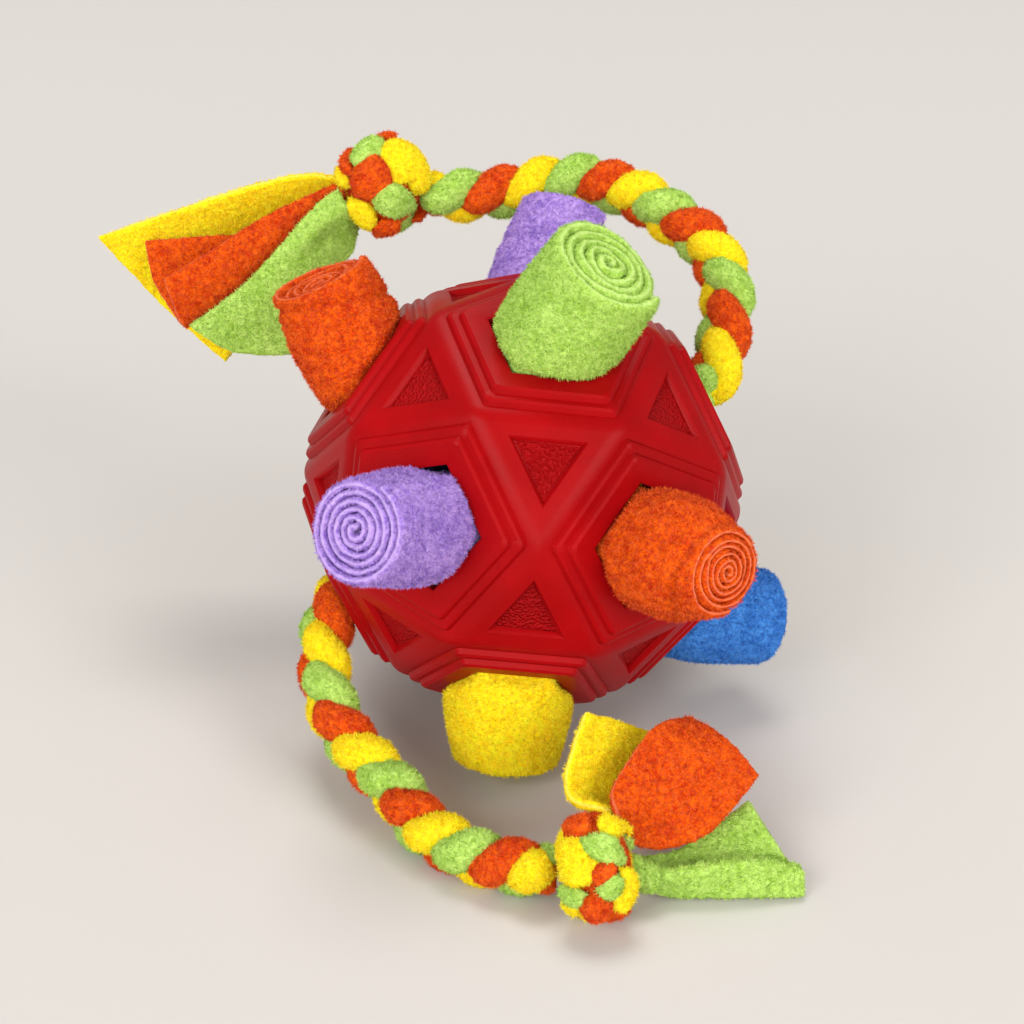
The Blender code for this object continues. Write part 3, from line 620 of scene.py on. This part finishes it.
# ------------------------------------------------------------------ the rope
# Three strips of fleece in a flat plait, through the ball from hole to hole.
# Outside the ball it is a free cord that stands in a stiff arc up to each knot.
PLAIT_SWING = 3.5                       # sideways swing of a strand
PLAIT_DEPTH = 2.4                       # its swing through the thickness
STRAND_RADIUS = 5.2
PLAIT_FACING = 110.0                    # turn of the plait's edge to the front
PLAIT_COUNT = (
    # distance along the rope, strands that have crossed its front edge
    (0.0, -0.7),
    (45.6, 3.0),
    (77.2, 6.0),
    (111.8, 9.0),
    (149.8, 11.8),
    (278.6, 22.0),
    (320.6, 25.0),
    (356.4, 28.0),
    (410.0, 32.8),
)
ROPE_ROUTE = (
    (-29.8, 72.2, 67.5),
    (-21.2, 72.2, 66.7),
    (-8.2, 72.6, 67.6),
    (1.9, 73.5, 69.5),
    (15.1, 73.4, 71.6),
    (27.3, 70.5, 70.3),
    (35.4, 66.5, 68.4),
    (42.9, 61.1, 64.9),
    (51.7, 54.4, 60.8),
    (57.7, 47.2, 55.7),
    (60.5, 37.7, 48.6),
    (59.3, 26.8, 39.8),
    (55.8, 15.6, 31.0),
    (50.6, 10.2, 26.0),
    (44.0, 7.2, 21.2),
    (33.0, 4.4, 15.2),
    (17.0, 2.0, 7.8),
    (0.0, 0.0, 0.0),
    (-17.0, -2.0, -7.8),
    (-33.0, -4.6, -15.2),
    (-44.0, -6.6, -20.6),
    (-51.5, -10.0, -26.0),
    (-56.4, -17.3, -32.8),
    (-57.4, -29.0, -40.2),
    (-55.7, -39.1, -44.3),
    (-52.9, -48.3, -47.8),
    (-48.5, -56.5, -50.7),
    (-41.9, -65.9, -53.2),
    (-35.8, -72.3, -56.0),
    (-29.4, -82.5, -59.6),
    (-21.9, -90.8, -61.2),
    (-13.7, -98.1, -61.5),
    (-3.6, -103.6, -60.8),
    (7.3, -109.1, -58.5),
)
ROUTE_STEPS = 60                        # short steps between two places on the route
UPPER_END = 13                          # places on the route where the ball begins
LOWER_START = 21                        # and ends
STRAND_COLOURS = ("green", "orange", "yellow")


def curve_point(points, place):
    """Point of a smooth curve through the points; place counts them from 0."""
    last = len(points) - 1
    start = min(max(int(place), 0), last - 1)
    part = place - start
    before = points[start - 1] if start > 0 else 2 * points[0] - points[1]
    after = points[start + 2] if start + 2 <= last else 2 * points[last] - points[last - 1]
    here, there = points[start], points[start + 1]
    return 0.5 * ((2 * here) + (there - before) * part
                  + (2 * before - 5 * here + 4 * there - after) * part ** 2
                  + (3 * here - before - 3 * there + after) * part ** 3)


route = [Vector(point) for point in ROPE_ROUTE]
fine_count = ROUTE_STEPS * (len(route) - 1)
fine = [curve_point(route, number / ROUTE_STEPS) for number in range(fine_count + 1)]
gone = [0.0]
for near, far in zip(fine, fine[1:]):
    gone.append(gone[-1] + (far - near).length)


def rope_place(distance):
    """Point of the rope's middle line this far from the upper knot."""
    low, high = 0, len(gone) - 1
    while high - low > 1:
        middle = (low + high) // 2
        if gone[middle] <= distance:
            low = middle
        else:
            high = middle
    share = (distance - gone[low]) / (gone[high] - gone[low])
    return fine[low].lerp(fine[high], share)


def rope_frame(distance):
    """The rope's middle and its plait's wide and deep directions."""
    point = rope_place(distance)
    along = (rope_place(distance + 1.0) - rope_place(distance - 1.0)).normalized()
    view = Vector((0.0, -cos(radians(CAMERA_DOWN)), sin(radians(CAMERA_DOWN))))
    side = along.cross(view).normalized()
    front = side.cross(along)
    wide = side * cos(radians(PLAIT_FACING)) + front * sin(radians(PLAIT_FACING))
    return point, wide, along.cross(wide)


def strand_phase(distance, strand):
    """Where a strand is in its swing across the plait."""
    for (start, low), (end, high) in zip(PLAIT_COUNT, PLAIT_COUNT[1:]):
        if distance <= end:
            count = low + (high - low) * (distance - start) / (end - start)
            return tau * ((count - strand) / 3 + 0.25)


def strand_place(distance, strand):
    """Point of a strand's middle line, on its figure of eight across the plait."""
    point, wide, deep = rope_frame(distance)
    phase = strand_phase(distance, strand)
    return point + wide * (PLAIT_SWING * sin(phase)) + deep * (PLAIT_DEPTH * sin(2 * phase))


def tube(bm, centres, radii, around, material):
    """A closed tube through the centres, with its rounded ends drawn in."""
    sections = len(centres)
    made = bmesh.ops.create_grid(bm, x_segments=sections - 1, y_segments=around, size=0.5)
    verts = made["verts"]
    frames = []
    side = None
    for number, centre in enumerate(centres):
        along = centres[min(number + 1, sections - 1)] - centres[max(number - 1, 0)]
        along.normalize()
        if side is None:
            side = along.orthogonal()
        side = (side - along * side.dot(along)).normalized()
        frames.append((side.copy(), along.cross(side)))
    for vert in verts:
        number = round((vert.co.x + 0.5) * (sections - 1))
        angle = tau * round((vert.co.y + 0.5) * around) / around
        across, up = frames[number]
        vert.co = centres[number] + (across * cos(angle) + up * sin(angle)) * radii[number]
    close_up(bm, verts, material)


def make_rope(start, end, step, around):
    """The three strands between two distances from the upper knot."""
    bm = bmesh.new()
    count = round((end - start) / step)
    for strand in range(3):
        centres = [strand_place(distance, strand) for distance in steps(start, end, count)]
        radii = []
        for number in range(count + 1):
            distance = start + (end - start) * number / count
            plump = STRAND_RADIUS - PILE_RISE - 0.45 * cos(2 * strand_phase(distance, strand))
            from_end = min(number, count - number) * step
            radii.append(plump * min(1.0, 0.55 + 0.45 * sqrt(min(1.0, from_end / 2.5))))
        tube(bm, centres, radii, around, strand)
    bmesh.ops.recalc_face_normals(bm, faces=bm.faces[:])
    return bm


upper_length = gone[ROUTE_STEPS * UPPER_END]
lower_begins = gone[ROUTE_STEPS * LOWER_START]
strand_finishes = [FLEECE[colour] for colour in STRAND_COLOURS]
stretches = (
    # name, start and end from the upper knot, length of a section, points round a strand
    ("rope_upper", 0.0, upper_length, CLOTH_STEP, 28),
    ("rope_inside", upper_length - 1.0, lower_begins + 1.0, 2.5, 14),
    ("rope_lower", lower_begins, gone[-1], CLOTH_STEP, 28),
)
for name, start, end, step, around in stretches:
    mesh = make_rope(start, end, step, around)
    raise_pile(mesh)
    seen = name != "rope_inside"
    pile = grow_pile(name, mesh, strand_finishes) if seen else None
    stretch = finish_mesh(name, mesh, strand_finishes)
    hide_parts("rope")
    path = [at(rope_place(distance)) for distance in steps(start, end, round((end - start) / 4))]
    if name == "rope_upper":
        path.reverse()
    if seen:
        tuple(path[0])

# ------------------------------------------------------------------ the knots
# The three strips tied over each other at each end of the rope. Each band is
# one strip passing over the knot; its ends dive in under the next.
KNOT_CENTRES = {
    "knot_upper": (-42.6, 72.4, 70.2),
    "knot_lower": (18.3, -115.4, -53.6),
}
KNOT_SIZES = {
    # half width, half height and half depth
    "knot_upper": (15.4, 16.4, 14.5),
    "knot_lower": (11.6, 15.2, 12.2),
}
KNOT_BANDS = {
    # colour, and points of a strip over the knot: across, up and its half width
    "knot_upper": (
        ("yellow", ((0.0, 14.4, 2.2), (4.7, 11.1, 5.3), (9.4, 7.1, 6.4), (12.2, 1.7, 4.4),
                    (11.0, -3.6, 1.9))),
        ("green", ((-10.0, 5.8, 1.3), (-7.5, 9.6, 3.6), (-4.4, 12.7, 3.9), (-0.8, 15.4, 1.9))),
        ("orange", ((-9.7, -3.6, 1.9), (-6.6, 0.4, 5.2), (-2.5, 4.4, 5.8), (1.6, 6.8, 3.6))),
        ("green", ((0.9, -10.5, 2.6), (3.2, -5.7, 6.1), (5.8, 0.1, 2.8))),
        ("yellow", ((-12.4, -4.2, 1.2), (-9.6, -8.2, 2.9), (-6.0, -11.8, 3.1), (-3.0, -13.4, 1.6))),
        ("orange", ((-5.0, -14.3, 1.3), (0.0, -14.6, 2.7), (5.3, -12.4, 1.3))),
        ("orange", ((-9.7, 12.4, 0.8), (-12.5, 8.0, 1.9), (-11.3, 3.3, 0.9))),
        ("yellow", ((-14.1, 6.7, 0.9), (-14.7, 3.6, 1.9), (-11.9, -0.2, 1.3))),
        ("orange", ((0.0, 16.0, 0.6), (1.9, 15.7, 1.4), (3.8, 15.8, 0.6))),
    ),
    "knot_lower": (
        ("orange", ((-10.1, 10.1, 1.3), (-6.0, 11.4, 3.7), (-1.6, 12.2, 2.9))),
        ("yellow", ((0.0, 13.0, 1.3), (3.7, 11.6, 2.8), (6.0, 8.2, 1.8))),
        ("yellow", ((-8.9, 8.0, 2.1), (-7.6, 2.7, 4.6), (-5.5, -2.2, 4.7), (-4.2, -5.9, 2.4))),
        ("green", ((2.6, 8.8, 2.4), (1.6, 5.1, 5.2), (0.0, 1.2, 2.6))),
        ("orange", ((-1.0, -4.3, 1.3), (2.1, -1.4, 2.2), (5.5, 0.8, 0.8))),
        ("green", ((0.5, -6.9, 1.3), (3.9, -5.4, 2.9), (6.3, -1.7, 1.4))),
        ("yellow", ((7.1, 0.1, 1.0), (9.6, -4.3, 2.4), (8.6, -8.5, 3.0), (5.8, -12.2, 1.8))),
        ("green", ((-10.2, -5.1, 0.9), (-7.3, -8.2, 2.4), (-3.1, -8.2, 1.3))),
        ("yellow", ((-9.7, -8.8, 0.7), (-7.1, -11.3, 1.4), (-4.5, -11.6, 0.8))),
        ("orange", ((-1.3, -7.6, 1.6), (-0.1, -11.6, 3.5), (0.0, -14.5, 2.0))),
    ),
}
# The gathered neck of the green strip where it leaves the lower knot.
KNOT_NECK = (
    ((30.2, -109.0, -56.0), (32.0, -110.5, -60.0), (31.0, -110.0, -64.5)),
    ((26.5, -108.5, -54.5), (28.5, -111.0, -58.5), (27.5, -111.0, -62.5)),
)
NECK_RADIUS = 3.4
NECK_STEPS = 16
KNOT_COLOURS = ("yellow", "green", "orange")
BAND_THICK = 4.0
BAND_SPREAD = 1.3                       # the bands are pressed out wider than they lie
BAND_LONG = 20                          # sections along a band
BAND_ROUND = 24                         # points round it
KNOT_HEART = 0.74                       # size of the round under the bands


def knot_band(bm, name, points, back, material):
    """One strip lying over the knot's round, thick in the middle, its ends tucked in."""
    half_width, half_height, half_depth = KNOT_SIZES[name]
    centre = Vector(KNOT_CENTRES[name])
    front = (Vector(CAMERA_PLACE) - centre).normalized()
    right = Vector((0, 0, 1)).cross(front).normalized()
    up = front.cross(right)
    points = [Vector(point) for point in points]
    spots = []
    for number in range(BAND_LONG + 1):
        across, height, half = curve_point(points, (len(points) - 1) * number / BAND_LONG)
        square = (across / half_width) ** 2 + (height / half_height) ** 2
        if square > 0.98:
            across, height = across / sqrt(square) * 0.99, height / sqrt(square) * 0.99
            square = 0.98
        deep = half_depth * sqrt(1 - square)
        outward = Vector((across / half_width ** 2, height / half_height ** 2,
                          deep / half_depth ** 2)).normalized()
        spots.append((Vector((across, height, deep)), outward, half))
    made = bmesh.ops.create_grid(bm, x_segments=BAND_LONG, y_segments=BAND_ROUND, size=0.5)
    verts = made["verts"]
    for vert in verts:
        number = round((vert.co.x + 0.5) * BAND_LONG)
        angle = tau * round((vert.co.y + 0.5) * BAND_ROUND) / BAND_ROUND
        spot, outward, half = spots[number]
        along = spots[min(number + 1, BAND_LONG)][0] - spots[max(number - 1, 0)][0]
        beside = outward.cross(along).normalized()
        from_end = min(number, BAND_LONG - number) / BAND_LONG
        full = sqrt(min(1.0, 0.05 + from_end * 7))
        reach = half * BAND_SPREAD * full * cos(angle)
        height = min(BAND_THICK, half) * (full * sin(angle) - 0.75)
        height -= reach ** 2 / (2 * half_depth)
        height -= 2.0 * (1 - full)
        local = spot + beside * reach + outward * height
        if back:
            local.negate()
        vert.co = centre + right * local.x + up * local.y + front * local.z
    close_up(bm, verts, material)


def order_faces(bm, faces):
    """Make faces again in the order of their corners: a new sphere's order changes each run."""
    bm.verts.index_update()
    rings = []
    for face in faces:
        ring = list(face.verts)
        first = ring.index(min(ring, key=lambda vert: vert.index))
        rings.append(ring[first:] + ring[:first])
    rings.sort(key=lambda ring: [vert.index for vert in ring])
    bmesh.ops.delete(bm, geom=faces, context="FACES_ONLY")
    for ring in rings:
        bm.faces.new(ring)


def make_knot(name):
    """The bands over a round heart, the same behind as in front."""
    bm = bmesh.new()
    for colour, points in KNOT_BANDS[name]:
        for back in (False, True):
            knot_band(bm, name, points, back, KNOT_COLOURS.index(colour))
    made = bmesh.ops.create_uvsphere(bm, u_segments=32, v_segments=20, radius=1.0)
    faces = dict.fromkeys(face for vert in made["verts"] for face in vert.link_faces)
    order_faces(bm, list(faces))
    wide, high, deep = [KNOT_HEART * half for half in KNOT_SIZES[name]]
    bmesh.ops.scale(bm, vec=(wide, deep, high), verts=made["verts"])
    bmesh.ops.rotate(bm, cent=(0, 0, 0), verts=made["verts"],
                     matrix=Matrix.Rotation(radians(-CAMERA_DOWN), 3, "X"))
    bmesh.ops.translate(bm, vec=KNOT_CENTRES[name], verts=made["verts"])
    for vert in made["verts"]:
        for face in vert.link_faces:
            face.material_index = KNOT_COLOURS.index("orange")
    if name == "knot_lower":
        for points in KNOT_NECK:
            points = [Vector(point) for point in points]
            places = steps(0.0, 2.0, NECK_STEPS)
            centres = [curve_point(points, place) for place in places]
            radii = [NECK_RADIUS * sqrt(max(0.04, 1 - (place - 1) ** 2)) for place in places]
            tube(bm, centres, radii, 30, KNOT_COLOURS.index("green"))
    bmesh.ops.recalc_face_normals(bm, faces=bm.faces[:])
    raise_pile(bm, 0.30)
    return bm


knot_finishes = [FLEECE[colour] for colour in KNOT_COLOURS]
for name in KNOT_BANDS:
    mesh = make_knot(name)
    grow_pile(name, mesh, knot_finishes)
    knot = finish_mesh("tied_" + name, mesh, knot_finishes)
    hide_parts(name)

# ------------------------------------------------------------------ the tails
# The strips' loose ends past the knots, cut square, with the fold that the
# knot gives them. They are one layer of fleece with soft cut edges.
TAILS = {
    # rows of points across the strip, from the knot to its cut end
    "tail_upper_yellow": (
        ((-55.9, 77.5, 70.9), (-55.2, 78.5, 67.4), (-53.9, 77.0, 64.0)),
        ((-69.0, 79.5, 71.2), (-66.1, 82.0, 62.4), (-62.1, 75.5, 56.0)),
        ((-84.1, 77.5, 68.3), (-77.0, 84.0, 52.6), (-71.0, 72.0, 43.8)),
        ((-99.1, 76.0, 64.0), (-89.1, 84.0, 44.7), (-79.9, 69.0, 33.7)),
        ((-116.2, 76.5, 58.0), (-101.3, 82.0, 37.4), (-86.9, 66.0, 24.5)),
        ((-133.2, 80.0, 51.3), (-114.1, 79.0, 28.4), (-93.1, 64.0, 15.2)),
    ),
    "tail_upper_orange": (
        ((-55.9, 73.0, 71.0), (-55.6, 71.5, 68.9), (-55.3, 71.0, 67.1), (-54.8, 73.0, 66.0),
         (-54.3, 74.0, 64.9)),
        ((-68.4, 68.0, 67.0), (-66.7, 66.5, 63.8), (-65.1, 67.0, 60.1), (-66.0, 71.5, 60.6),
         (-66.8, 73.5, 61.5)),
        ((-83.2, 61.5, 61.0), (-79.6, 60.0, 55.7), (-77.0, 62.5, 50.7), (-79.5, 70.5, 51.5),
         (-82.3, 73.0, 55.1)),
        ((-96.2, 55.4, 53.9), (-93.7, 53.5, 46.4), (-91.1, 57.0, 39.3), (-97.0, 69.0, 43.5),
         (-100.6, 73.0, 53.6)),
        ((-108.8, 51.0, 47.4), (-106.3, 48.5, 39.8), (-104.5, 52.5, 31.9), (-114.5, 68.5, 39.5),
         (-117.4, 73.0, 52.3)),
    ),
    "tail_upper_green": (
        ((-56.9, 65.0, 70.9), (-55.4, 64.0, 68.4), (-54.1, 65.5, 65.7), (-53.3, 70.0, 59.4)),
        ((-64.0, 60.5, 66.0), (-59.1, 59.5, 65.0), (-54.5, 62.0, 64.6), (-51.9, 70.0, 56.2)),
        ((-73.8, 56.0, 56.1), (-67.6, 55.5, 56.2), (-62.2, 60.0, 56.3), (-52.8, 68.0, 50.1)),
        ((-84.5, 52.0, 45.3), (-74.3, 51.0, 46.3), (-64.9, 55.0, 47.1), (-57.0, 64.0, 46.3)),
        ((-94.3, 49.5, 38.5), (-81.8, 47.5, 35.4), (-66.8, 50.0, 35.1), (-63.0, 58.0, 38.0)),
        ((-102.1, 49.0, 33.2), (-89.1, 46.0, 25.9), (-70.9, 46.5, 24.7), (-68.0, 54.0, 28.0)),
    ),
    "tail_lower_yellow": (
        ((21.8, -101.8, -44.8), (21.2, -100.8, -47.9), (21.1, -100.3, -51.3)),
        ((12.6, -101.0, -42.6), (17.7, -94.5, -46.4), (24.0, -91.0, -49.5)),
        ((10.4, -99.5, -36.7), (18.6, -91.5, -41.5), (28.7, -84.5, -46.5)),
        ((12.7, -94.5, -29.7), (21.1, -88.0, -35.1), (31.6, -79.0, -42.0)),
        ((15.7, -87.0, -24.2), (23.1, -81.5, -29.5), (35.0, -73.0, -38.7)),
    ),
    "tail_lower_orange": (
        ((24.2, -105.9, -44.4), (26.0, -106.9, -48.2), (27.8, -107.6, -52.0)),
        ((22.5, -101.5, -39.1), (29.5, -102.5, -48.0), (36.3, -104.0, -55.6)),
        ((27.8, -97.0, -30.9), (36.7, -100.0, -41.4), (47.1, -102.0, -53.0)),
        ((34.3, -89.0, -26.9), (43.6, -95.0, -35.4), (55.8, -97.0, -46.2)),
        ((43.5, -79.0, -30.6), (53.4, -86.5, -32.9), (61.8, -91.0, -41.3)),
    ),
    "tail_lower_green": (
        ((31.4, -107.6, -64.0), (31.8, -109.0, -60.5), (31.0, -108.3, -57.8), (28.8, -106.2, -57.6)),
        ((38.0, -107.0, -68.2), (38.9, -109.0, -59.8), (39.6, -103.0, -63.2), (39.6, -97.5, -60.6)),
        ((48.6, -107.5, -68.4), (48.9, -108.0, -58.6), (48.4, -101.5, -64.6), (47.2, -93.0, -57.2)),
        ((60.9, -107.6, -68.4), (60.8, -106.0, -59.0), (59.6, -99.5, -64.2), (54.1, -90.5, -53.2)),
        ((73.3, -107.1, -68.4), (73.1, -103.5, -63.3), (69.5, -98.5, -62.6), (59.3, -90.0, -49.2)),
    ),
}


def make_tail(rows):
    """The strip's end as a slab that follows its rows of points.

    Gives its mesh, its length along the middle and its flat area."""
    rows = [[Vector(point) for point in row] for row in rows]
    across_count = len(rows[0]) - 1
    along_count = len(rows) - 1
    middle = [curve_point(row, across_count / 2) for row in rows]
    length = sum((far - near).length for near, far in zip(middle, middle[1:]))
    last = [curve_point(rows[-1], across_count * share / 10) for share in range(11)]
    width = sum((far - near).length for near, far in zip(last, last[1:]))

    def point(along, across):
        line = [curve_point(row, across / width * across_count) for row in rows]
        return curve_point(line, along / length * along_count)

    def place(along, across, height):
        here = point(along, across)
        ahead = point(along + 0.5, across) - point(along - 0.5, across)
        beside = point(along, across + 0.5) - point(along, across - 0.5)
        return here + ahead.cross(beside).normalized() * height

    across_rows = steps(1.5, width - 1.5, round(width / CLOTH_STEP))
    along_rows = steps(0.0, length - 0.9, round(length / CLOTH_STEP))
    bm = strip_slab(along_rows, across_rows, across_rows, place)
    raise_pile(bm, 0.30)
    return bm, length, sum(face.calc_area() for face in bm.faces) / 2


for name, rows in TAILS.items():
    colour = name.split("_")[2]
    mesh, length, area = make_tail(rows)
    pile = grow_pile(name, mesh, [FLEECE[colour]])
    tail = finish_mesh("cut_" + name, mesh, [FLEECE[colour]])
    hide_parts(name)
    "knot_upper" if "upper" in name else "knot_lower"

# ------------------------------------------------------------------ floor and light
# A plain pale floor, three large soft lights in front, one above and behind,
# and a pale surround. The colours are shown as they are, with no film curve.
FLOOR_REACH = 20.0                      # metres
floor_mesh = bmesh.new()
bmesh.ops.create_grid(floor_mesh, x_segments=1, y_segments=1, size=FLOOR_REACH)
floor_data = bpy.data.meshes.new("floor")
floor_mesh.to_mesh(floor_data)
floor_mesh.free()
floor = bpy.data.objects.new("floor", floor_data)
bpy.context.collection.objects.link(floor)
paper = bpy.data.materials.new("pale_floor")
paper.use_nodes = True
paper_shader = paper.node_tree.nodes["Principled BSDF"]
paper_shader.inputs["Base Color"].default_value = (0.60, 0.575, 0.55, 1)
paper_shader.inputs["Roughness"].default_value = 0.9
floor_data.materials.append(paper)

LIGHTS = (
    # name, place, size in metres, power in watts, colour
    ("key_left", (-3300, -5000, 3000), 3.6, 270.0, (1.0, 0.985, 0.96)),
    ("key_right", (3900, -4400, 2600), 3.2, 200.0, (1.0, 0.985, 0.96)),
    ("front", (200, -6600, 1500), 3.6, 165.0, (1.0, 0.985, 0.96)),
    ("above", (-300, 2300, 7000), 3.4, 265.0, (1.0, 0.99, 0.97)),
)
for name, place, size, power, colour in LIGHTS:
    light_data = bpy.data.lights.new(name, "AREA")
    light_data.shape = "SQUARE"
    light_data.size = size
    light_data.energy = power
    light_data.color = colour
    light = bpy.data.objects.new(name, light_data)
    light.location = at(place)
    light.rotation_euler = (at((0, 0, 0)) - light.location).to_track_quat("-Z", "Y").to_euler()
    bpy.context.collection.objects.link(light)

world = bpy.data.worlds.new("surround")
bpy.context.scene.world = world
bpy.context.scene.view_settings.view_transform = "Standard"
world.use_nodes = True
world.node_tree.nodes["Background"].inputs["Color"].default_value = (1.0, 0.985, 0.965, 1)
world.node_tree.nodes["Background"].inputs["Strength"].default_value = 0.39
